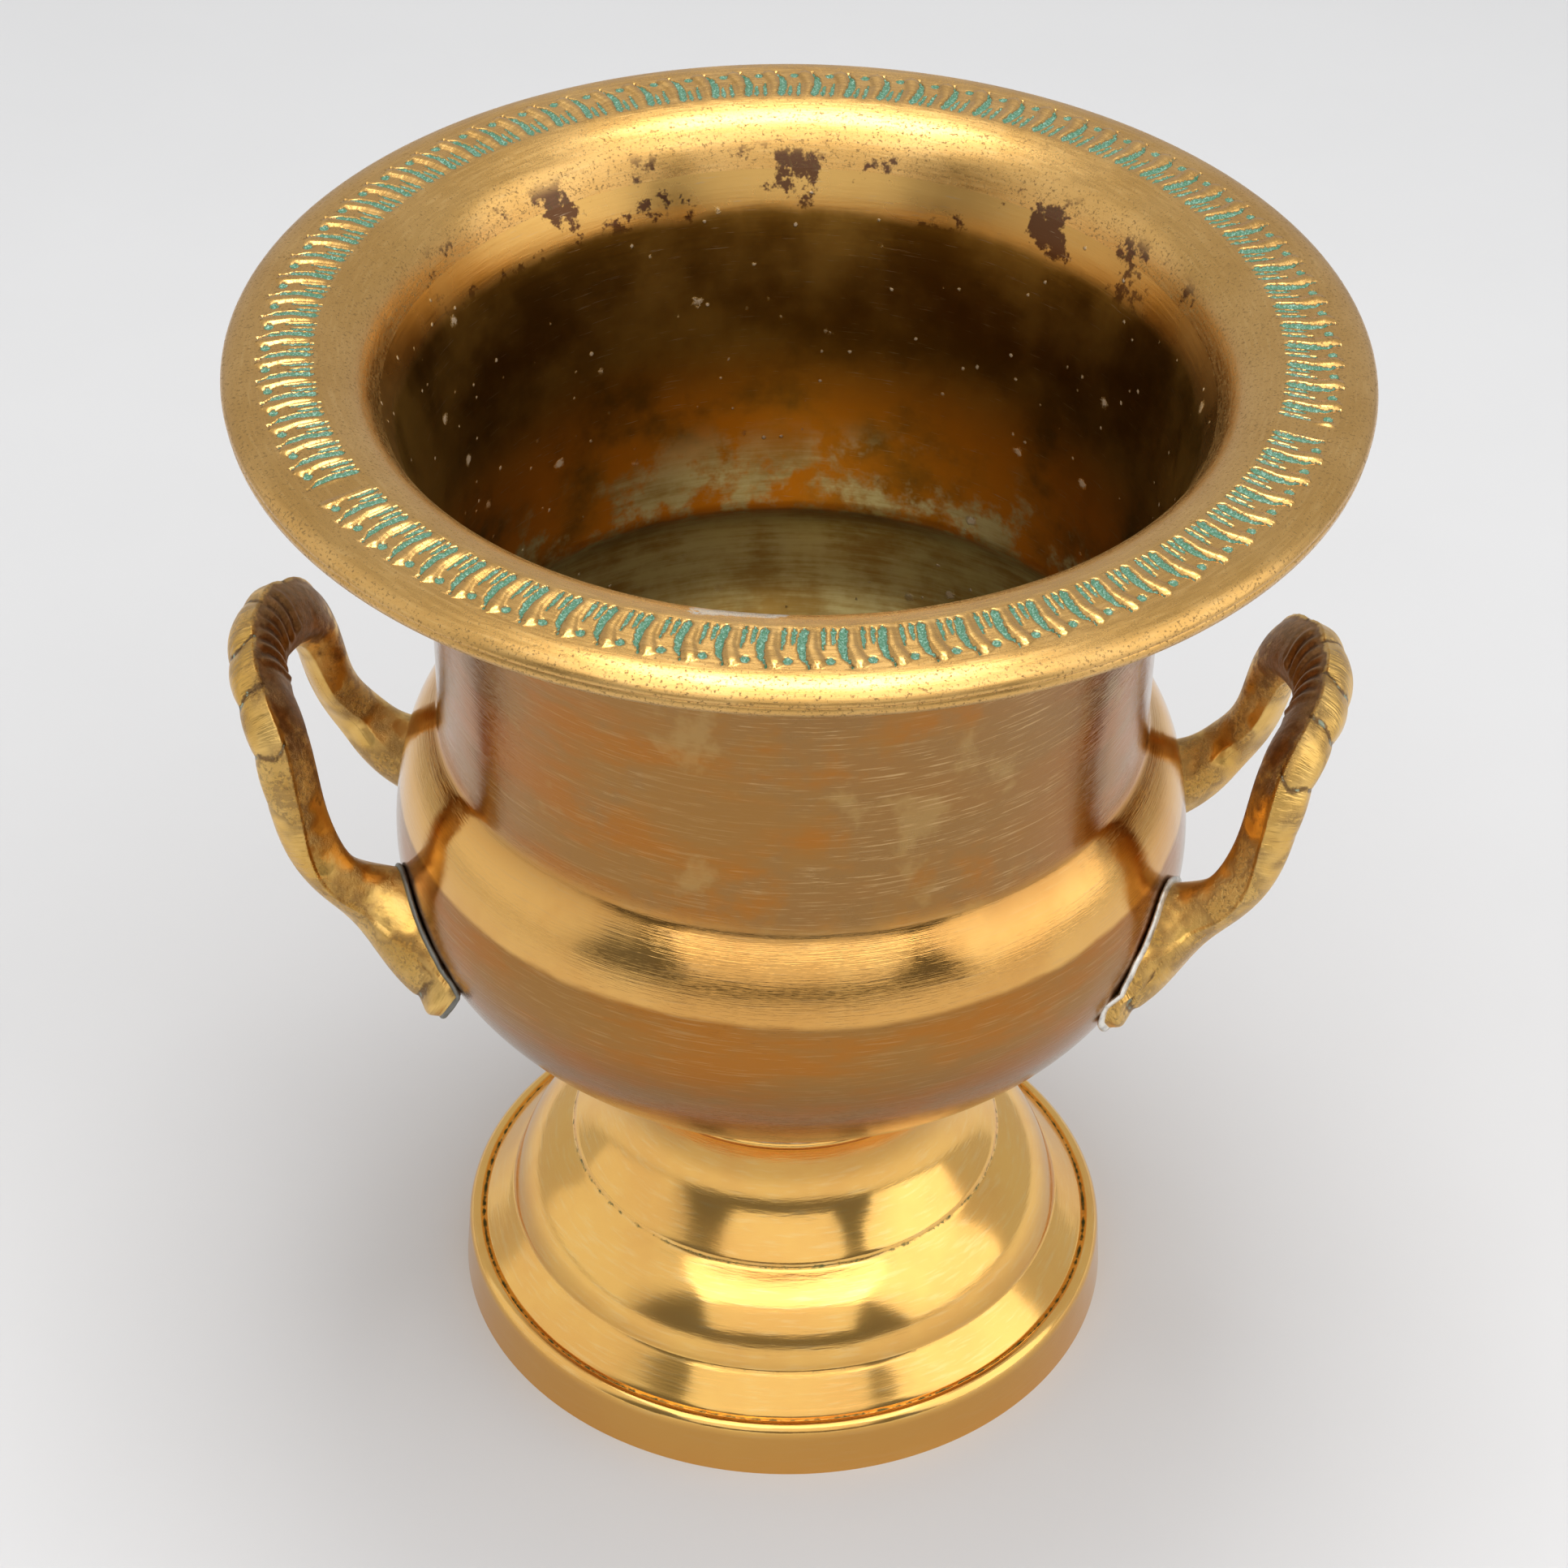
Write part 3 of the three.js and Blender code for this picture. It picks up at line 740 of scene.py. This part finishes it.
def make_foot():
    outside = foot_outside()
    inside = evenly([
        (FOOT_RADIUS - SHEET, 0),
        (GROOVE_RADIUS, GROOVE_Z - 2.8),
        (GROOVE_RADIUS - 4.4, GROOVE_Z),
        (57.9, 19.9),
        (56.2, 25.2),
        (51.4, 31),
        (45.4, 34.8),
        (38.4, 46.4),
        (35.8, 57),
        (35.8, FOOT_TOP_Z - SHEET),
        (0, FOOT_TOP_Z - SHEET),
    ], 3.0)
    outline = np.vstack([outside, inside])
    # residue lies in the turned lines: the place of each, how wide it spreads and how dark it is
    lines = (
        ((46.4, 37.3), 0.9, 0.6),
        ((59.8, 19.6), 0.5, 0.4),
        ((GROOVE_RADIUS, GROOVE_Z - 1), 0.8, 0.7),
    )
    hollow = np.zeros(len(outline))
    for line, width, amount in lines:
        away = np.hypot(*(outline - np.array(line)).T)
        hollow = np.maximum(hollow, amount * np.clip(1 - away / width, 0, 1))
    piece = spun("foot_turned", outline, False, foot_look(), hollow=hollow)
    place(piece, "polished_brass", "foot")


def make_foot_solder(material):
    """The bead between the top of the foot and the bowl."""
    inner = 37.3
    base = FOOT_TOP_Z + 0.3
    outline = np.vstack([
        [(inner, base), (38.5, base)],
        curve((39, base + 0.2), (39.2, base + 0.9), (38.6, base + 1.6)),
        [(inner + 0.3, base + 0.6)],
    ])
    piece = spun("foot_solder_run", outline, True, material)
    place(piece, "solder", "foot_solder_ring")


# ---------- handles ----------

# One half of a handle, from the root on the belly to the crown. At each station: place (out along
# X, sideways along Y, height), the direction that points out of the loop, and the half sizes of
# the section, across the loop and through it.
HANDLE_STATIONS = [
    ((58, 32, 106), (-0.5, 0.65, -0.57), 15, 9),
    ((71, 28.5, 113.5), (-0.45, 0.65, -0.6), 12.7, 9.3),
    ((83.5, 26, 120.5), (-0.1, 0.55, -0.83), 7, 7.2),
    ((91.5, 27.5, 127.5), (0.4, 0.55, -0.7), 5, 5.2),
    ((97.5, 26, 139.5), (0.5, 0.85, -0.1), 5.4, 4.6),
    ((102, 21, 157), (0.35, 0.85, 0.4), 6.2, 5.2),
    ((108, 0, 162.6), (0.2, 0, 1), 7.4, 5.4),
]
# Both handles come from one pattern but are soldered on by hand. How each one sits: the bend of
# its crown up or down, its shift outwards and up, its lean sideways about the middle of its
# roots and its turn about the axis of the pot, in degrees.
HANDLE_SEATS = {
    "left": {"crown_lift": 0.5, "outward": 0.6, "raised": -1.9, "lean": 1.8, "turn": -0.7},
    "right": {"crown_lift": -3, "outward": -1.5, "raised": 1.9, "lean": -4.3, "turn": -4},
}
# The solder round each handle's roots: half the width of the bead, and how far it has gone dark.
HANDLE_BEADS = {"left": {"reach": 0.8, "tarnish": 0.85}, "right": {"reach": 1.35, "tarnish": 0}}
HANDLE_ROOT = np.array([80, 0, 115])
LEAF_TIPS = [7, 17, 27, 38]  # where each leaf ends, as lengths from the crown down the leg
LEAF_SWELL = 1.0
FLUTE_SPACING = 3.8
SECTION_STEPS = 112
HALF_STEPS = 240


def unit(vectors):
    return vectors / np.linalg.norm(vectors, axis=-1, keepdims=True)


def handle_frame(lift):
    """The spine of a handle: a function of t from one root (0) over the crown (0.5) to the other (1)."""
    stations = [(*place, *out, across, through) for place, out, across, through in HANDLE_STATIONS]
    half = np.array(stations, float)
    half[:, 2] += lift * (np.arange(len(half)) / (len(half) - 1)) ** 2
    other = half[-2::-1] * np.array([1, -1, 1, 1, -1, 1, 1, 1])
    rows = np.vstack([half, other])
    knots = np.linspace(0, 1, len(rows))

    def at(t):
        t = np.atleast_1d(np.asarray(t, float))
        row = spline(knots, rows, t)
        step = 1e-3
        ahead = spline(knots, rows, np.minimum(t + step, 1))
        behind = spline(knots, rows, np.maximum(t - step, 0))
        tangent = unit((ahead - behind)[:, :3])
        out = row[:, 3:6]
        out = unit(out - (out * tangent).sum(1, keepdims=True) * tangent)
        return row[:, :3], out, np.cross(tangent, out), row[:, 6], row[:, 7]

    return at


def distance_from_bowl(points, outline):
    """How far each point lies outside the bowl's surface; negative inside it."""
    flat = np.stack([np.hypot(points[:, 0], points[:, 1]), points[:, 2]], axis=1)
    start = outline[:-1]
    step = outline[1:] - start
    rel = flat[:, None, :] - start[None]
    share = np.clip((rel * step).sum(2) / (step * step).sum(1), 0, 1)
    gap = rel - share[..., None] * step
    nearest = np.argmin((gap * gap).sum(2), axis=1)
    rows = np.arange(len(flat))
    side = step[nearest, 1] * gap[rows, nearest, 0] - step[nearest, 0] * gap[rows, nearest, 1]
    return np.sign(side) * np.sqrt((gap[rows, nearest] ** 2).sum(1))


def bowl_normal(points, outline):
    """Direction square to the bowl's surface at each point near it."""
    step = 0.2
    base = distance_from_bowl(points, outline)
    slopes = [distance_from_bowl(points + step * axis, outline) - base for axis in np.eye(3)]
    return unit(np.stack(slopes, axis=1))


def wrapped(angle):
    return (angle + math.pi) % (2 * math.pi) - math.pi


def handle_relief(angle, from_crown, from_root):
    """Height, hollow and patina of the cast detail, and the place round the section from the arris.

    angle goes round the section: 0 faces out of the loop, a quarter turn faces the bowl. from_crown
    and from_root are lengths along the leg.
    """
    # one filed arris parts the outer facet (behind it) from the face that looks at the bowl
    arris = np.interp(from_crown, [0, 12, 26, 40], [0.15, 0.25, 0.7, 0.87])
    past = wrapped(angle - arris)
    fading = smoothstep(15, 0, from_root)
    height = (0.75 - 0.4 * fading) * np.exp(-np.abs(past) / (0.2 + 0.2 * fading))
    rear_arris = np.exp(-np.abs(wrapped(angle - 3.6)) / 0.25)
    height += 0.5 * rear_arris * smoothstep(10, 16, from_crown)

    # leaves swell down the outer facet, each parted from the next by a crease
    outer = smoothstep(0.3, 0, past) * smoothstep(-2.6, -2, past)
    bowed = 1.6 * np.clip(past + 0.8, -1, 1) ** 2
    wavy = 0.5 * np.sin(5 * past + from_crown / 4)
    place_along = from_crown + bowed + wavy
    ends = np.array([-LEAF_TIPS[0], *LEAF_TIPS])
    leaf = np.clip(np.searchsorted(ends, place_along) - 1, 0, len(ends) - 2)
    share = np.clip((place_along - ends[leaf]) / (ends[leaf + 1] - ends[leaf]), 0, 1)
    swell = np.sin(math.pi * share) ** 0.5
    leafy = smoothstep(LEAF_TIPS[-1] + 1, LEAF_TIPS[-1] - 1, place_along)
    leafy *= (0.12 + 0.88 * outer) * np.interp(from_crown, [0, 24, 36], [1, 0.9, 0.4])
    height += LEAF_SWELL * (swell - 0.5) * leafy
    to_crease = np.abs(place_along[:, None] - np.array(LEAF_TIPS)[None]).min(1)
    hollow = np.exp(-((to_crease / 0.6) ** 2)) * leafy

    # flutes run down the crown's inner face and end in a low arch
    shell = smoothstep(14, 11, from_crown) * smoothstep(0.15, 0.4, past) * smoothstep(1.75, 1.5, past)
    flutes = np.cos(2 * math.pi * from_crown / FLUTE_SPACING + 0.6 * past)
    height += 0.4 * flutes * shell
    hollow += 0.75 * shell * smoothstep(0, -0.8, flutes)
    arch = np.exp(-(((past - 1.9 + from_crown * 0.03) / 0.14) ** 2)) * smoothstep(16, 12, from_crown)
    height += 0.35 * arch

    # a small knob ends the leg at the lowest point of its root
    knob = np.exp(-(((from_root - 2.6) / 1.9) ** 2) - (wrapped(angle) / 0.6) ** 2)
    notch = np.exp(-(((from_root - 6) / 0.9) ** 2) - (wrapped(angle) / 0.7) ** 2)
    height += 1.7 * knob - 0.5 * notch
    hollow += notch

    facing_bowl = smoothstep(-0.05, 0.25, past) * smoothstep(2.9, 2.4, past)
    patina = facing_bowl * np.interp(from_crown, [14, 30, 46], [1, 0.45, 0.2])
    return height, np.clip(hollow, 0, 1), patina, past


def seated(points, seat):
    """Points of a handle leant and shifted to where it is soldered."""
    lean = np.array(Matrix.Rotation(math.radians(seat["lean"]), 3, "X"))
    return (points - HANDLE_ROOT) @ lean.T + HANDLE_ROOT + np.array([seat["outward"], 0, seat["raised"]])


def make_handle(side, material, solder):
    seat = HANDLE_SEATS[side]
    half_turn = math.pi if side == "left" else 0
    turn = np.array(Matrix.Rotation(half_turn + math.radians(seat["turn"]), 3, "Z"))
    at = handle_frame(seat["crown_lift"])
    outline = bowl_outside()
    angle = np.arange(SECTION_STEPS) * 2 * math.pi / SECTION_STEPS
    halfway = np.linspace(0.5, 0, 400)
    spine = lengths_along(at(halfway)[0])

    def length_from_crown(t):
        return np.interp(np.abs(t - 0.5), 0.5 - halfway, spine)

    def ring_at(t, root_t):
        centre, out, through, across, thick = at(t)
        from_crown = length_from_crown(t)
        square = np.interp(from_crown, [0, 18, 36, 60, 80], [2.1, 2.3, 2.7, 2.7, 2.1])
        cosine = np.cos(angle)
        sine = np.sin(angle)
        along_out = np.sign(cosine) * np.abs(cosine) ** (2 / square) * across
        along_through = np.sign(sine) * np.abs(sine) ** (2 / square) * thick
        offset = out * along_out[:, None] + through * along_through[:, None]
        from_root = length_from_crown(root_t) - from_crown
        height, hollow, patina, past = handle_relief(angle, from_crown, from_root)
        points = seated(centre + offset + unit(offset) * height[:, None], seat)
        return points, {"hollow": hollow, "patina": patina, "along": from_crown, "around": past}

    def root_of(trial):
        """Where each line along the leg comes out of the bowl."""
        grid = [ring_at(np.full(SECTION_STEPS, t), np.full(SECTION_STEPS, trial[0]))[0] for t in trial]
        clear = np.array([distance_from_bowl(ring, outline) for ring in grid]) - HANDLE_CLEARANCE
        return np.array([np.interp(0, clear[:, k], trial) for k in range(SECTION_STEPS)])

    start = root_of(np.linspace(0.03, 0.4, 120))
    end = root_of(np.linspace(0.97, 0.6, 120))
    shares = np.linspace(0, 1, HALF_STEPS)
    made = [ring_at(start + (0.5 - start) * share, start) for share in shares]
    made += [ring_at(end + (0.5 - end) * share, end) for share in shares[-2::-1]]
    rings = [points for points, _ in made]
    rings = [rings[0].mean(0, keepdims=True), *rings, rings[-1].mean(0, keepdims=True)]
    attributes = {}
    for key in made[0][1]:
        attributes[key] = [np.zeros(1), *[values[key] for _, values in made], np.zeros(1)]
    turned = [ring @ turn.T for ring in rings]
    piece = ring_mesh(f"handle_{side}_cast", turned, attributes, False, material)
    place(piece, "cast_brass", f"handle_{side}")

    legs = ("back", "front") if side == "right" else ("front", "back")
    for leg, root in zip(legs, (rings[1], rings[-2])):
        make_leg_solder(side, leg, root, outline, turn, solder)


def make_leg_solder(side, leg, root, outline, turn, material):
    """A lumpy bead of solder round the root of a leg, lying on the bowl."""
    count = len(root)
    normal = bowl_normal(root, outline)
    tangent = unit(np.roll(root, -1, axis=0) - np.roll(root, 1, axis=0))
    sideways = unit(np.cross(tangent, normal))
    if ((root + sideways - root.mean(0)) ** 2).sum() < ((root - root.mean(0)) ** 2).sum():
        sideways = -sideways
    random = np.random.default_rng(7)
    lumps = np.zeros(count)
    for waves in (2, 3, 5, 9, 14):
        phase = random.uniform(0, 6.3)
        lumps += np.cos(np.arange(count) * 2 * math.pi * waves / count + phase) / waves**0.6
    bead = HANDLE_BEADS[side]
    width = bead["reach"] + 0.12 * lumps
    rings = []
    for turn_step in range(12):
        bend = turn_step / 12 * 2 * math.pi
        away = math.cos(bend) * width
        lifted = HANDLE_CLEARANCE * 0.55 * (1 + math.sin(bend)) - HANDLE_CLEARANCE + 0.1
        rings.append(root + sideways * away[:, None] + normal * lifted)
    turned = [ring @ turn.T for ring in rings]
    tarnish = spread([bead["tarnish"]] * len(rings), rings)
    piece = ring_mesh(f"handle_{side}_{leg}_solder_bead", turned, {"tarnish": tarnish}, True, material)
    place(piece, "solder", f"handle_{side}_{leg}_solder")


# ---------- stage, lights and camera ----------

LIT_POINT = (0, 0, 0.12)  # metres, on the axis, where the lights are aimed
FLOOR_REACH = 4  # metres
SENSOR_WIDTH = 36
VIEWER_LENS = 102.788
VIEWER_PLACE = (0, -0.72239, 0.70644)  # metres
VIEWER_PITCH_DOWN = 0.67265  # radians, as are the next two
VIEWER_HEADING = 0.00221
VIEWER_ROLL = 0.01726


def make_floor():
    mesh = bpy.data.meshes.new("paper_floor")
    corners = [(x * FLOOR_REACH, y * FLOOR_REACH, 0) for x, y in ((-1, -1), (1, -1), (1, 1), (-1, 1))]
    mesh.from_pydata(corners, [], [(0, 1, 2, 3)])
    mesh.materials.append(floor_look())
    floor = bpy.data.objects.new("paper_floor", mesh)
    bpy.context.scene.collection.objects.link(floor)


def softbox(name, azimuth, elevation, distance, size, radiance):
    """A soft light facing the pot. azimuth runs from the viewer's side round to the right."""
    light = bpy.data.lights.new(name, "AREA")
    light.shape = "RECTANGLE"
    light.size, light.size_y = size
    light.energy = radiance * math.pi * size[0] * size[1]
    lamp = bpy.data.objects.new(name, light)
    heading = math.radians(azimuth)
    tilt = math.pi / 2 - math.radians(elevation)
    facing = (Matrix.Rotation(heading, 3, "Z") @ Matrix.Rotation(tilt, 3, "X")).to_4x4()
    lamp.matrix_world = Matrix.Translation(LIT_POINT) @ facing @ Matrix.Translation((0, 0, distance))
    bpy.context.scene.collection.objects.link(lamp)


def make_lights():
    softbox("overhead_softbox", 0, 70, 1.4, (1.6, 1.3), 1.45)
    softbox("overhead_core", 180, 79, 1.35, (0.55, 0.56), 7.6)
    softbox("left_softbox", -83, 26, 1.35, (1.5, 1.5), 0.3)
    softbox("right_softbox", 71, 28, 1.35, (1.25, 1.5), 1.05)
    softbox("front_fill", 0, 36, 1.6, (1.7, 1.4), 0.85)


def make_world():
    """A dim studio that is paler behind the pot than behind the viewer."""
    world = bpy.data.worlds.new("studio")
    bpy.context.scene.world = world
    world.use_nodes = True
    tree = world.node_tree
    coordinates = tree.nodes.new("ShaderNodeTexCoord")
    split = tree.nodes.new("ShaderNodeSeparateXYZ")
    ramp = tree.nodes.new("ShaderNodeMapRange")
    ramp.inputs["From Min"].default_value = -0.65
    ramp.inputs["From Max"].default_value = -0.4
    ramp.inputs["To Min"].default_value = 0.18
    ramp.inputs["To Max"].default_value = 0.55
    tree.links.new(coordinates.outputs["Generated"], split.inputs[0])
    tree.links.new(split.outputs["Y"], ramp.inputs["Value"])
    tree.links.new(ramp.outputs[0], tree.nodes["Background"].inputs["Color"])


def make_camera():
    """The viewer looks down at the pot from the front."""
    camera = bpy.data.cameras.new("viewer")
    camera.sensor_width = SENSOR_WIDTH
    camera.lens = VIEWER_LENS
    viewer = bpy.data.objects.new("viewer", camera)
    facing = (
        Matrix.Rotation(VIEWER_HEADING, 4, "Z")
        @ Matrix.Rotation(math.pi / 2 - VIEWER_PITCH_DOWN, 4, "X")
        @ Matrix.Rotation(VIEWER_ROLL, 4, "Z")
    )
    viewer.matrix_world = Matrix.Translation(VIEWER_PLACE) @ facing
    bpy.context.scene.collection.objects.link(viewer)
    bpy.context.scene.camera = viewer


make_camera()
make_bowl()
make_rim()
make_foot()
solder = solder_look()
cast_brass = handle_look()
make_rim_solder(solder)
make_foot_solder(solder)
for side in ("left", "right"):
    make_handle(side, cast_brass, solder)
make_floor()
make_lights()
make_world()
bpy.context.scene.view_settings.view_transform = "Standard"
